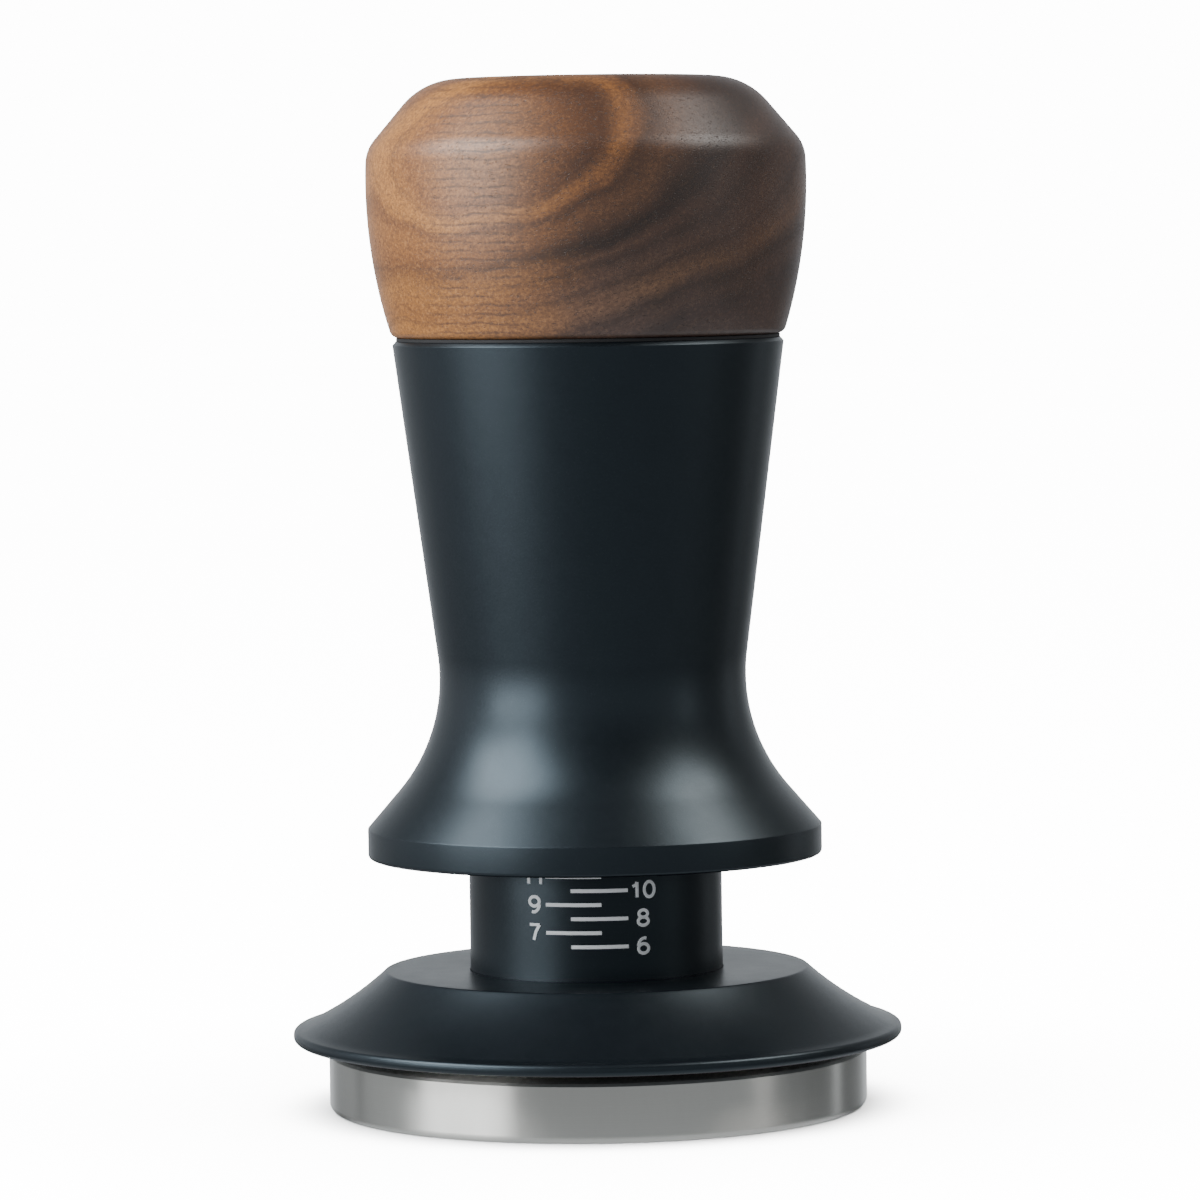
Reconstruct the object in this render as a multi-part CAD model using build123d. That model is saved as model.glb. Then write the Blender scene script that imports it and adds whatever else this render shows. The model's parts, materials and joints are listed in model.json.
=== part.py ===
from build123d import *
from math import cos, radians, sin, sqrt, tan
import os

# A sprung, self-levelling espresso tamper. It stands on its steel base, the axis is Z,
# the origin is the middle of the base's underside, and the depth scale faces -Y.
# Every length is in millimetres and every angle in degrees.

# Steel base, the part that presses the coffee
base_r = 29.175
base_h = 6.3
base_bottom_round = 0.8
base_top_chamfer = 0.3

# Levelling disc, which rests on the basket's rim
disc_lip_overhang = 3.825
disc_lip_h = 1.2
disc_h = 7.5
disc_top_r = 22.9
disc_slope_r = 36.7
disc_edge_round = 0.35

# Travels
lift_travel = 8.0
press_travel = 3.8
nest_gap = 0.5

# Centre shaft with the flange that holds the disc off the base
shaft_r = 5.0
shaft_flange_w = 4.0
shaft_flange_t = 1.2
shaft_stub_r = 4.0
shaft_stub_h = 3.8
shaft_spigot_r = 3.9
key_w = 2.5
key_proud = 1.2
key_depth = 1.3
key_start = 1.0

# Scale sleeve on the disc
sleeve_r = 13.7
sleeve_wall = 1.4
sleeve_floor_t = 2.5
sleeve_seat_depth = 4.0
sleeve_hidden_h = 9.0
mark_depth = 0.15
mark_t = 0.38
mark_first_h = 3.75
mark_pitch = 1.5
mark_low_number = 6
mark_high_number = 11
digit_h = 2.1
digit_w = 1.35
digit_stroke = 0.3
digit_space = 0.35
odd_line_from, odd_line_to, odd_digits_at = -22.8, 2.5, -28.5
even_line_from, even_line_to, even_digits_at = -11.2, 14.5, 21.6

# Bushes and guides
bush_wall = 2.0
bush_flange_t = 1.0
bush_flange_w = 1.6
guide_ring_wall = 1.5
guide_ring_h = 6.0
guide_ring_inset = 1.6

# Barrel
barrel_h = 55.8
barrel_rim_r = 24.6
barrel_waist_wall = 2.6
barrel_waist_h = 19.45
barrel_waist_arc_r = 18.86
barrel_cone_angle = 40.8
barrel_taper_angle = 7.42
barrel_edge_round = 0.4
web_t = 4.5
web_gap = 0.4
thread_step = 2.5

# Retaining collar, stop ring and thrust washer
collar_r = 11.5
collar_t = 3.0
stop_ring_t = 1.5
stop_ring_gap = 0.26
washer_t = 1.0

# Springs
main_wire = 2.4
main_spring_inset = 1.3
level_wire = 1.2
level_spring_h = 24.5
level_coil_room = 1.47
main_coil_room = 1.05

# Preload plug, upper seat and stud
plug_h = 5.1
plug_sink = 0.5
seat_t = 1.0
seat_lip_w = 1.5
stud_r = 5.0
stud_h = 17.0
spanner_hole_r = 1.5
spanner_hole_depth = 3.0

# Knob and its insert
knob_washer_t = 0.4
knob_washer_inset = 0.45
knob_h = 27.74
knob_swell = 2.59
knob_belly_h = 16.7
knob_side_arc_r = 55.0
knob_bottom_round = 1.0
knob_shoulder_h = 20.24
knob_shoulder_round = 4.2
knob_slope_angle = 40.2
knob_top_round = 7.8
insert_flange_r = 13.0
insert_flange_t = 2.5
insert_boss_r = 8.0
insert_h = 13.5
insert_bore_h = 12.0

# Screws
screw_count = 3
sleeve_screw_r = 1.25
sleeve_screw_edge = 0.33
sleeve_screw_l = 5.0
wood_screw_r = 1.3
wood_screw_head_r = 2.2
wood_screw_l = 11.0
retaining_screw_r = 2.45
retaining_screw_head_r = 4.5
retaining_screw_head_h = 3.0
retaining_screw_l = 14.0
circlip_t = 1.0
circlip_w = 1.4
circlip_groove = 0.6
circlip_gap_angle = 70.0

# Clearances, each measured on the radius or along the axis
running_gap = 0.04
slip_gap = 0.02
free_gap = 0.3
side_gap = 0.05
collar_gap = 0.5
level_stop_gap = 0.8
screw_head_gap = 0.8
thread_end_gap = 0.2

# Heights above the floor, worked out from the base upwards
disc_z = base_h + shaft_flange_t
disc_top_z = disc_z + disc_h
sleeve_z = disc_top_z - sleeve_seat_depth
sleeve_floor_z = sleeve_z + sleeve_floor_t
barrel_z = disc_top_z + lift_travel + press_travel + nest_gap
sleeve_top_z = barrel_z + sleeve_hidden_h
barrel_top_z = barrel_z + barrel_h
level_stop_z = sleeve_floor_z + level_spring_h
circlip_z = level_stop_z + washer_t
circlip_top_z = circlip_z + circlip_t
web_z = max(sleeve_top_z + lift_travel, circlip_top_z) + press_travel + web_gap
web_top_z = web_z + web_t
collar_z = web_top_z + stop_ring_t
collar_top_z = collar_z + collar_t
washer_top_z = collar_top_z + washer_t
plug_z = barrel_top_z - plug_sink - plug_h
plug_top_z = plug_z + plug_h
seat_z = plug_z - seat_t
knob_z = barrel_top_z + knob_washer_t
insert_top_z = knob_z + insert_h
stud_z = plug_z + plug_sink

# Radii that follow from the fits
bush_r = shaft_r + running_gap + bush_wall
bore_r = sleeve_r + free_gap
guide_ring_r = sleeve_r + running_gap + guide_ring_wall
disc_lip_r = base_r + disc_lip_overhang
shaft_flange_r = shaft_r + shaft_flange_w
sleeve_inner_r = sleeve_r - sleeve_wall
barrel_waist_r = bore_r + barrel_waist_wall
chamber_r = collar_r + collar_gap
thread_r = chamber_r + thread_step
washer_bore_r = retaining_screw_head_r + screw_head_gap
level_stop_r = sleeve_inner_r - level_stop_gap
level_mean_r = (bush_r + sleeve_inner_r) / 2
main_mean_r = collar_r - main_wire / 2 - main_spring_inset
sleeve_screw_at = level_mean_r
sleeve_screw_head_r = (sleeve_inner_r - bush_r) / 2 - sleeve_screw_edge
wood_screw_at = (insert_boss_r + insert_flange_r) / 2


def turned(profile):
    """A closed outline of (radius, height) edges turned round the Z axis."""
    return revolve(Plane.XZ * profile, axis=Axis.Z)


def outline(*points):
    return make_face(Polyline(*points, close=True))


def tube(outer_r, inner_r, low_z, high_z):
    return turned(outline((inner_r, low_z), (outer_r, low_z), (outer_r, high_z), (inner_r, high_z)))


def rod(radius, low_z, high_z):
    return Pos(0, 0, low_z) * Cylinder(radius, high_z - low_z, align=(Align.CENTER, Align.CENTER, Align.MIN))


def around(piece, count, radius):
    return [Rot(0, 0, 360 / count * i) * Pos(radius, 0, 0) * piece for i in range(count)]


def hexagon(width_r, low_z, high_z):
    return Pos(0, 0, low_z) * extrude(RegularPolygon(width_r, 6), amount=high_z - low_z)


def bevelled_ring(outer_r, inner_r, low_z, high_z, bevel):
    """A ring whose outer edges are broken by a small bevel."""
    return turned(outline(
        (inner_r, low_z), (outer_r - bevel, low_z), (outer_r, low_z + bevel),
        (outer_r, high_z - bevel), (outer_r - bevel, high_z), (inner_r, high_z),
    ))


def key_slot(radius, width, low_z, high_z):
    """The space of a key that reaches from the axis out to radius, on the +Y side."""
    return Pos(0, radius / 2, (low_z + high_z) / 2) * Box(width, radius, high_z - low_z)


def coil(mean_r, wire, low_z, high_z, turns):
    """A helical spring with its ends ground flat at low_z and high_z."""
    length = high_z - low_z
    path = Pos(0, 0, low_z) * Helix(length / turns, length, mean_r)
    section = Plane(origin=path @ 0, z_dir=path % 0) * Circle(wire / 2)
    spring = sweep(section, path=path, is_frenet=True)
    return spring & (Pos(0, 0, (low_z + high_z) / 2) * Box(4 * mean_r, 4 * mean_r, length))


def turns_that_fit(length, travel, wire, room):
    """The half turns that still have room beside each other at full travel."""
    return int(2 * (length - travel) / (wire * room)) / 2


def flat_screw(head_r, shank_r, length):
    """A countersunk screw, its head's face at height 0 and its shank downwards."""
    head_h = head_r - shank_r
    body = turned(outline(
        (0, 0), (head_r, 0), (shank_r, -head_h), (shank_r, shank_r / 2 - length),
        (shank_r / 2, -length), (0, -length),
    ))
    return body - hexagon(shank_r * 0.8, -head_h, 0)


def flat_screw_hole(head_r, shank_r, depth):
    head_h = head_r - shank_r
    return turned(outline((0, 0), (head_r, 0), (shank_r, -head_h), (shank_r, -depth), (0, -depth)))


# Root: the base and all that is fixed to it

def steel_base():
    face = outline((0, 0), (base_r, 0), (base_r, base_h), (0, base_h))
    bottom, top = face.vertices().filter_by_position(Axis.X, base_r - 1, base_r + 1).sort_by(Axis.Y)
    face = fillet(bottom, base_bottom_round)
    top = face.vertices().sort_by(Axis.Y)[-2:].sort_by(Axis.X)[-1]
    body = turned(chamfer(top, base_top_chamfer))
    return body - rod(shaft_stub_r + slip_gap, base_h - shaft_stub_h - thread_end_gap, base_h)


def centre_shaft():
    spigot_top_z = collar_top_z - thread_end_gap
    body = turned(outline(
        (0, base_h - shaft_stub_h), (shaft_stub_r, base_h - shaft_stub_h), (shaft_stub_r, base_h),
        (shaft_flange_r, base_h), (shaft_flange_r, disc_z), (shaft_r, disc_z), (shaft_r, collar_z),
        (shaft_spigot_r, collar_z), (shaft_spigot_r, spigot_top_z), (0, spigot_top_z),
    ))
    screw_hole_z = collar_top_z - retaining_screw_l - thread_end_gap
    body -= rod(retaining_screw_r + slip_gap, screw_hole_z, spigot_top_z)
    body -= tube(shaft_r + 1, shaft_r - circlip_groove, circlip_z, circlip_top_z)
    low_z, high_z = key_span()
    floor_r = shaft_r - key_depth
    slot = key_slot(shaft_r + 1, key_w, low_z, high_z) - key_slot(floor_r, key_w + 1, low_z, high_z)
    return body - slot


def key_span():
    """The key reaches through the disc's bush at both ends of the lift."""
    return disc_z + key_start, sleeve_floor_z + lift_travel


def shaft_key():
    low_z, high_z = key_span()
    full = key_slot(shaft_r + key_proud, key_w, low_z, high_z)
    return full - key_slot(shaft_r - key_depth, key_w + 1, low_z, high_z)


def level_stop():
    return bevelled_ring(level_stop_r, shaft_r + slip_gap, level_stop_z, circlip_z, 0.2)


def circlip():
    inner_r = shaft_r - circlip_groove + slip_gap
    ring = tube(shaft_r + circlip_w, inner_r, circlip_z, circlip_top_z)
    reach = 3 * shaft_r
    side = reach * tan(radians(circlip_gap_angle / 2))
    wedge = extrude(outline((0, 0), (reach, -side), (reach, side)), amount=circlip_top_z + 1)
    return ring - wedge


def retaining_collar():
    return bevelled_ring(collar_r, shaft_spigot_r + slip_gap, collar_z, collar_top_z, 0.4)


def retaining_screw():
    head_top_z = collar_top_z + retaining_screw_head_h
    body = rod(retaining_screw_r, collar_top_z - retaining_screw_l, collar_top_z)
    body += bevelled_ring(retaining_screw_head_r, 0, collar_top_z, head_top_z, 0.5)
    return body - hexagon(retaining_screw_r * 0.8, head_top_z - retaining_screw_head_h / 2, head_top_z)


# Levelling disc, scale sleeve and what is fixed to them

def levelling_disc():
    lip_top_z = disc_z + disc_lip_h
    slope_end_r = disc_lip_r - disc_edge_round
    edges = [
        Line((0, disc_z), (disc_lip_r, disc_z)),
        Line((disc_lip_r, disc_z), (disc_lip_r, lip_top_z)),
        Line((disc_lip_r, lip_top_z), (slope_end_r, lip_top_z)),
        RadiusArc((slope_end_r, lip_top_z), (disc_top_r, disc_top_z), disc_slope_r),
        Line((disc_top_r, disc_top_z), (0, disc_top_z)),
        Line((0, disc_top_z), (0, disc_z)),
    ]
    face = make_face(Curve() + edges)
    lip_corners = face.vertices().filter_by_position(Axis.X, disc_lip_r - 0.01, disc_lip_r + 0.01)
    face = fillet(lip_corners, disc_edge_round)
    top_edge = face.vertices().filter_by_position(Axis.X, disc_top_r - 0.01, disc_top_r + 0.01)
    body = turned(fillet(top_edge, disc_edge_round))
    body -= rod(bush_r + slip_gap, disc_z - 1, disc_top_z + 1)
    body -= rod(sleeve_r + slip_gap, sleeve_z, disc_top_z + 1)
    hole_z = max(sleeve_floor_z - sleeve_screw_l - thread_end_gap, disc_z + 0.5)
    hole = rod(sleeve_screw_r + slip_gap, hole_z, disc_top_z)
    for cut in around(hole, screw_count, sleeve_screw_at):
        body -= cut
    return body


def disc_bush():
    body = tube(bush_r, shaft_r + running_gap, disc_z, sleeve_floor_z)
    return body - key_slot(shaft_r + key_proud + side_gap, key_w + 2 * side_gap, disc_z, sleeve_floor_z)


def plain_sleeve():
    return turned(outline(
        (bush_r + slip_gap, sleeve_z), (sleeve_r, sleeve_z), (sleeve_r, sleeve_top_z),
        (sleeve_inner_r, sleeve_top_z), (sleeve_inner_r, sleeve_floor_z),
        (bush_r + slip_gap, sleeve_floor_z),
    ))


def scale_sleeve(marks):
    body = plain_sleeve()
    hole = flat_screw_hole(sleeve_screw_head_r + slip_gap, sleeve_screw_r + slip_gap, sleeve_floor_t + 1)
    for cut in around(Pos(0, 0, sleeve_floor_z) * hole, screw_count, sleeve_screw_at):
        body -= cut
    for mark in marks.solids():
        body -= mark
    return body


def sleeve_screws():
    length = min(sleeve_screw_l, sleeve_floor_z - disc_z - 0.5 - thread_end_gap)
    screw = Pos(0, 0, sleeve_floor_z) * flat_screw(sleeve_screw_head_r, sleeve_screw_r, length)
    return Compound(children=around(screw, screw_count, sleeve_screw_at))


def levelling_spring():
    turns = turns_that_fit(level_spring_h, lift_travel, level_wire, level_coil_room)
    return coil(level_mean_r, level_wire, sleeve_floor_z, level_stop_z, turns)


# Scale marks: lines and numerals filled flush with the sleeve

def ring_stroke(width, height):
    inner_w = width / 2 - digit_stroke
    return Ellipse(width / 2, height / 2) - Ellipse(inner_w, height / 2 - digit_stroke)


def bar(x0, y0, x1, y1):
    """A straight stroke between two points, with square ends."""
    dx, dy = x1 - x0, y1 - y0
    length = sqrt(dx * dx + dy * dy)
    tilt = Vector(1, 0, 0).get_signed_angle(Vector(dx, dy, 0), Vector(0, 0, 1))
    return Pos((x0 + x1) / 2, (y0 + y1) / 2) * Rot(0, 0, tilt) * Rectangle(length, digit_stroke)


def digit_zero():
    return ring_stroke(digit_w, digit_h)


def digit_one():
    foot, top, half = -digit_h / 2, digit_h / 2, digit_stroke / 2
    flag = bar(-digit_w * 0.35, top - digit_w * 0.35 - half, 0, top - half)
    return bar(0, foot, 0, top) + flag


def digit_six():
    bowl_h = digit_h * 0.62
    bowl = Pos(0, (bowl_h - digit_h) / 2) * ring_stroke(digit_w, bowl_h)
    reach = digit_w / 2 - digit_stroke / 2
    stem = bar(-reach, (bowl_h - digit_h) / 2, digit_w * 0.2, digit_h / 2 - digit_stroke / 2)
    return bowl + stem


def digit_seven():
    top, half = digit_h / 2, digit_stroke / 2
    cap = bar(-digit_w / 2, top - half, digit_w / 2, top - half)
    return cap + bar(digit_w / 2 - half, top - half, -digit_w * 0.15, -digit_h / 2)


def digit_eight():
    low_h = digit_h * 0.54
    high_h = digit_h - low_h + digit_stroke
    low = Pos(0, (low_h - digit_h) / 2) * ring_stroke(digit_w, low_h)
    return low + Pos(0, (digit_h - high_h) / 2) * ring_stroke(digit_w * 0.9, high_h)


def digit_nine():
    return Rot(0, 0, 180) * digit_six()


digit_shapes = {
    "0": digit_zero, "1": digit_one, "6": digit_six,
    "7": digit_seven, "8": digit_eight, "9": digit_nine,
}


def numeral(number):
    """The number's digits side by side, centred on the origin."""
    text = str(number)
    step = digit_w + digit_space
    start = -step * (len(text) - 1) / 2
    return [Pos(start + step * i, 0) * digit_shapes[digit]() for i, digit in enumerate(text)]


def mark_line(height_z, from_angle, to_angle):
    inner_r = sleeve_r - mark_depth
    face = outline(
        (inner_r, height_z - mark_t / 2), (sleeve_r, height_z - mark_t / 2),
        (sleeve_r, height_z + mark_t / 2), (inner_r, height_z + mark_t / 2),
    )
    arc = revolve(Plane.XZ * face, axis=Axis.Z, revolution_arc=to_angle - from_angle)
    return Rot(0, 0, from_angle - 90) * arc


def mark_numeral(number, height_z, angle):
    skin = tube(sleeve_r, sleeve_r - mark_depth, height_z - digit_h, height_z + digit_h)
    front = Plane(origin=(0, 0, height_z), x_dir=(1, 0, 0), z_dir=(0, -1, 0))
    solids = []
    for shape in numeral(number):
        block = extrude(front * shape, amount=sleeve_r + 1)
        solids += (Rot(0, 0, angle) * (block & skin)).solids()
    return solids


def scale_marks():
    solids = []
    for number in range(mark_low_number, mark_high_number + 1):
        height_z = disc_top_z + mark_first_h + mark_pitch * (number - mark_low_number)
        if number % 2:
            line, digits_at = (odd_line_from, odd_line_to), odd_digits_at
        else:
            line, digits_at = (even_line_from, even_line_to), even_digits_at
        solids.append(mark_line(height_z, *line))
        solids += mark_numeral(number, height_z, digits_at)
    return Compound(children=solids)


# Spring pack, which turns with the handle but keeps its height

def thrust_washer():
    return bevelled_ring(collar_r, washer_bore_r, collar_top_z, washer_top_z, 0.15)


def main_spring():
    turns = turns_that_fit(seat_z - washer_top_z, press_travel, main_wire, main_coil_room)
    return coil(main_mean_r, main_wire, washer_top_z, seat_z, turns)


# Handle: barrel, knob and what is fixed to them

def barrel_outline():
    """The barrel's outside: rim, cone, waist arc and taper."""
    cone, taper = radians(barrel_cone_angle), radians(barrel_taper_angle)
    waist_z = barrel_z + barrel_waist_h
    centre_r = barrel_waist_r + barrel_waist_arc_r
    low = (centre_r - barrel_waist_arc_r * cos(cone), waist_z - barrel_waist_arc_r * sin(cone))
    high = (centre_r - barrel_waist_arc_r * cos(taper), waist_z + barrel_waist_arc_r * sin(taper))
    crease = (barrel_rim_r, low[1] - (barrel_rim_r - low[0]) / tan(cone))
    top = (high[0] + (barrel_top_z - high[1]) * tan(taper), barrel_top_z)
    return crease, low, (barrel_waist_r, waist_z), high, top


def barrel_top_r():
    return barrel_outline()[-1][0]


def barrel():
    crease, low, waist, high, top = barrel_outline()
    edges = [
        Line((0, barrel_z), (barrel_rim_r, barrel_z)),
        Line((barrel_rim_r, barrel_z), crease),
        Line(crease, low),
        ThreePointArc(low, waist, high),
        Line(high, top),
        Line(top, (0, barrel_top_z)),
        Line((0, barrel_top_z), (0, barrel_z)),
    ]
    face = make_face(Curve() + edges)
    rim_corner = face.vertices().filter_by_position(Axis.X, barrel_rim_r - 0.01, barrel_rim_r + 0.01)
    face = fillet(rim_corner, barrel_edge_round)
    top_corner = face.vertices().sort_by(Axis.Y)[-2:].sort_by(Axis.X)[-1]
    body = turned(chamfer(top_corner, barrel_edge_round))
    body -= rod(bore_r, barrel_z - 1, web_z)
    ring_z = barrel_z + guide_ring_inset
    body -= tube(guide_ring_r + slip_gap, sleeve_r, ring_z, ring_z + guide_ring_h)
    body -= rod(bush_r + slip_gap, web_z - 1, web_top_z + 1)
    body -= rod(chamber_r, web_top_z, plug_z + 1)
    body -= rod(thread_r + slip_gap, plug_z, barrel_top_z + 1)
    return body


def guide_ring():
    """A split wear ring in a groove inside the barrel's mouth."""
    ring_z = barrel_z + guide_ring_inset
    ring = tube(guide_ring_r, sleeve_r + running_gap, ring_z, ring_z + guide_ring_h)
    slit = Pos(0, guide_ring_r, ring_z + guide_ring_h / 2) * Rot(0, 35, 0) * Box(1, 8, 3 * guide_ring_h)
    return ring - slit


def handle_bush():
    body = tube(bush_r, shaft_r + running_gap, web_z, web_top_z)
    return body + tube(bush_r + bush_flange_w, shaft_r + running_gap, web_top_z, web_top_z + bush_flange_t)


def stop_ring():
    inner_r = bush_r + bush_flange_w + stop_ring_gap
    return bevelled_ring(collar_r, inner_r, web_top_z, collar_z, 0.3)


def upper_seat():
    lip_r = main_mean_r - main_wire / 2 - free_gap
    inner_r = lip_r - seat_lip_w
    disc = tube(chamber_r - slip_gap, inner_r, seat_z, plug_z)
    return disc + tube(lip_r, inner_r, seat_z - main_wire / 2, seat_z)


def preload_plug():
    body = bevelled_ring(thread_r, stud_r + slip_gap, plug_z, plug_top_z, 0.5)
    hole = rod(spanner_hole_r, plug_top_z - spanner_hole_depth, plug_top_z + 1)
    for cut in around(hole, 2, (stud_r + thread_r) / 2):
        body -= cut
    return body


def knob_stud():
    body = rod(stud_r, stud_z, stud_z + stud_h)
    return body - hexagon(stud_r / 2, stud_z, stud_z + stud_r)


def knob_washer():
    return tube(barrel_top_r() - knob_washer_inset, thread_r, barrel_top_z, knob_z)


def knob_insert():
    boss_z = knob_z + insert_flange_t
    body = turned(outline(
        (0, knob_z), (insert_flange_r, knob_z), (insert_flange_r, boss_z), (insert_boss_r, boss_z),
        (insert_boss_r, insert_top_z), (0, insert_top_z),
    ))
    stud_top_z = max(knob_z + insert_bore_h, stud_z + stud_h)
    body -= rod(stud_r + slip_gap, knob_z - 1, stud_top_z)
    hole = Rot(180, 0, 0) * flat_screw_hole(wood_screw_head_r, wood_screw_r, insert_flange_t + 1)
    for cut in around(Pos(0, 0, knob_z) * hole, screw_count, wood_screw_at):
        body -= cut
    return body


def insert_screws():
    screw = Pos(0, 0, knob_z) * Rot(180, 0, 0) * flat_screw(wood_screw_head_r, wood_screw_r, wood_screw_l)
    return Compound(children=around(screw, screw_count, wood_screw_at))


def arc_drop(height):
    """How far the side arc falls back from the belly at a height away from it."""
    return knob_side_arc_r - sqrt(knob_side_arc_r ** 2 - height ** 2)


def knob_body():
    """A turned knob: bellied side, round shoulder, sloping top edge and flat top."""
    shoulder_z, top_z = knob_z + knob_shoulder_h, knob_z + knob_h
    belly_z = knob_z + knob_belly_h
    knob_r = barrel_top_r() + knob_swell
    bottom = (knob_r - arc_drop(knob_belly_h), knob_z)
    shoulder = (knob_r - arc_drop(knob_shoulder_h - knob_belly_h), shoulder_z)
    top = (shoulder[0] - (top_z - shoulder_z) * tan(radians(knob_slope_angle)), top_z)
    edges = [
        Line((0, knob_z), bottom),
        ThreePointArc(bottom, (knob_r, belly_z), shoulder),
        Line(shoulder, top),
        Line(top, (0, top_z)),
        Line((0, top_z), (0, knob_z)),
    ]
    face = make_face(Curve() + edges)
    rounds = ((bottom, knob_bottom_round), (shoulder, knob_shoulder_round), (top, knob_top_round))
    for corner, radius in rounds:
        face = fillet(face.vertices().sort_by_distance(corner)[0], radius)
    return turned(face)


def wood_knob():
    body = knob_body()
    boss_z = knob_z + insert_flange_t
    body -= rod(insert_flange_r + slip_gap, knob_z - 1, boss_z)
    body -= rod(insert_boss_r + slip_gap, boss_z - 1, insert_top_z + slip_gap)
    pilot = rod(wood_screw_r, boss_z - 1, knob_z + wood_screw_l)
    for cut in around(pilot, screw_count, wood_screw_at):
        body -= cut
    return body


def write(parts):
    os.makedirs("parts", exist_ok=True)
    for name, shape in parts.items():
        export_step(shape, f"parts/{name}.step")


marks = scale_marks()
parts = {
    "steel_base": steel_base(),
    "centre_shaft": centre_shaft(),
    "shaft_key": shaft_key(),
    "level_stop_washer": level_stop(),
    "shaft_circlip": circlip(),
    "retaining_collar": retaining_collar(),
    "retaining_screw": retaining_screw(),
    "levelling_disc": levelling_disc(),
    "disc_bush": disc_bush(),
    "scale_sleeve": scale_sleeve(marks),
    "scale_marks": marks,
    "sleeve_screws": sleeve_screws(),
    "levelling_spring": levelling_spring(),
    "thrust_washer": thrust_washer(),
    "main_spring": main_spring(),
    "barrel": barrel(),
    "guide_ring": guide_ring(),
    "handle_bush": handle_bush(),
    "stop_ring": stop_ring(),
    "upper_spring_seat": upper_seat(),
    "preload_plug": preload_plug(),
    "knob_stud": knob_stud(),
    "knob_washer": knob_washer(),
    "knob_insert": knob_insert(),
    "insert_screws": insert_screws(),
    "wood_knob": wood_knob(),
}
write(parts)
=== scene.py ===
import json
import math

import bmesh
import bpy
from mathutils import Matrix, Vector

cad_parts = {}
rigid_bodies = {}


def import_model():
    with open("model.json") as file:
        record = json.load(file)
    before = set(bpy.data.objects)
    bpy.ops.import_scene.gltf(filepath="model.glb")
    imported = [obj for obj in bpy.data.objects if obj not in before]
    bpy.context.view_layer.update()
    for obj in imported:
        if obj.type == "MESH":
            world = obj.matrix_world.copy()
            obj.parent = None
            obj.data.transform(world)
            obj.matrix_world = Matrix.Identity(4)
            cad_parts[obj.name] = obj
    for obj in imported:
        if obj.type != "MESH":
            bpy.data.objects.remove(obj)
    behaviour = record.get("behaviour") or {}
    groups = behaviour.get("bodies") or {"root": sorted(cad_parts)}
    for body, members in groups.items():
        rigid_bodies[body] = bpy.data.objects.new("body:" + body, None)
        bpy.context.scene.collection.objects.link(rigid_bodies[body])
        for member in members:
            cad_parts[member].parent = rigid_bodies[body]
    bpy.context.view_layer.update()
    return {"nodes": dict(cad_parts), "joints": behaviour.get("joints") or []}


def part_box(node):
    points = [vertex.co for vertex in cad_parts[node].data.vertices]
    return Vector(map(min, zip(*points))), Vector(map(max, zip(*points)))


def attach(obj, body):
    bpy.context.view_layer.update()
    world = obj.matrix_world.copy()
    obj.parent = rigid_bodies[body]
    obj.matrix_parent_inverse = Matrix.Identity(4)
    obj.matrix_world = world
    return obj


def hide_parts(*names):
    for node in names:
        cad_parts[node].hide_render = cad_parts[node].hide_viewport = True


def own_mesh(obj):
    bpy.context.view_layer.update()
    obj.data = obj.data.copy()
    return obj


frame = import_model()
mm = 0.001
print("frame loaded:", len(frame["nodes"]), "nodes")


def roundCorner(before, corner, after, radius, steps):
    # the arc that rounds one corner of an outline, as points
    back = (before - corner).normalized()
    ahead = (after - corner).normalized()
    half = back.angle(ahead) / 2
    reach = radius / math.tan(half)
    centre = corner + (back + ahead).normalized() * (radius / math.sin(half))
    start = corner + back * reach - centre
    end = corner + ahead * reach - centre
    turn = start.angle_signed(end)
    points = []
    for i in range(steps + 1):
        angle = -turn * i / steps
        c, s = math.cos(angle), math.sin(angle)
        points.append(centre + Vector((start.x * c - start.y * s, start.x * s + start.y * c)))
    return points


def softOutline(corners, closed, steps=6):
    # corners are (radius, height) or (radius, height, rounding), all in metres
    spots = [Vector(corner[:2]) for corner in corners]
    outline = []
    for i, corner in enumerate(corners):
        inside = closed or 0 < i < len(corners) - 1
        if len(corner) == 3 and inside:
            before, after = spots[i - 1], spots[(i + 1) % len(spots)]
            outline += roundCorner(before, spots[i], after, corner[2], steps)
        else:
            outline.append(spots[i])
    return outline


def arcPoints(centre, radius, fromAngle, toAngle, steps):
    angles = [fromAngle + (toAngle - fromAngle) * i / steps for i in range(steps + 1)]
    return [(centre[0] + radius * math.cos(a), centre[1] + radius * math.sin(a)) for a in angles]


def arcBetween(start, end, radius, steps):
    # the short arc from start to end, with its centre to the right of the way there
    chord = end - start
    rise = math.sqrt(radius ** 2 - (chord.length / 2) ** 2)
    centre = (start + end) / 2 + Vector((chord.y, -chord.x)).normalized() * rise
    fromAngle = math.atan2(start.y - centre.y, start.x - centre.x)
    toAngle = math.atan2(end.y - centre.y, end.x - centre.x)
    turn = (toAngle - fromAngle + math.pi) % (2 * math.pi) - math.pi
    return arcPoints(centre, radius, fromAngle, fromAngle + turn, steps)


def finishMesh(name, bm, material, creaseAngle):
    bmesh.ops.remove_doubles(bm, verts=bm.verts, dist=1e-7)
    bmesh.ops.recalc_face_normals(bm, faces=bm.faces)
    mesh = bpy.data.meshes.new(name)
    bm.to_mesh(mesh)
    bm.free()
    mesh.polygons.foreach_set("use_smooth", [True] * len(mesh.polygons))
    mesh.set_sharp_from_angle(angle=math.radians(creaseAngle))
    mesh.materials.append(material)
    piece = bpy.data.objects.new(name, mesh)
    bpy.context.scene.collection.objects.link(piece)
    return piece


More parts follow.
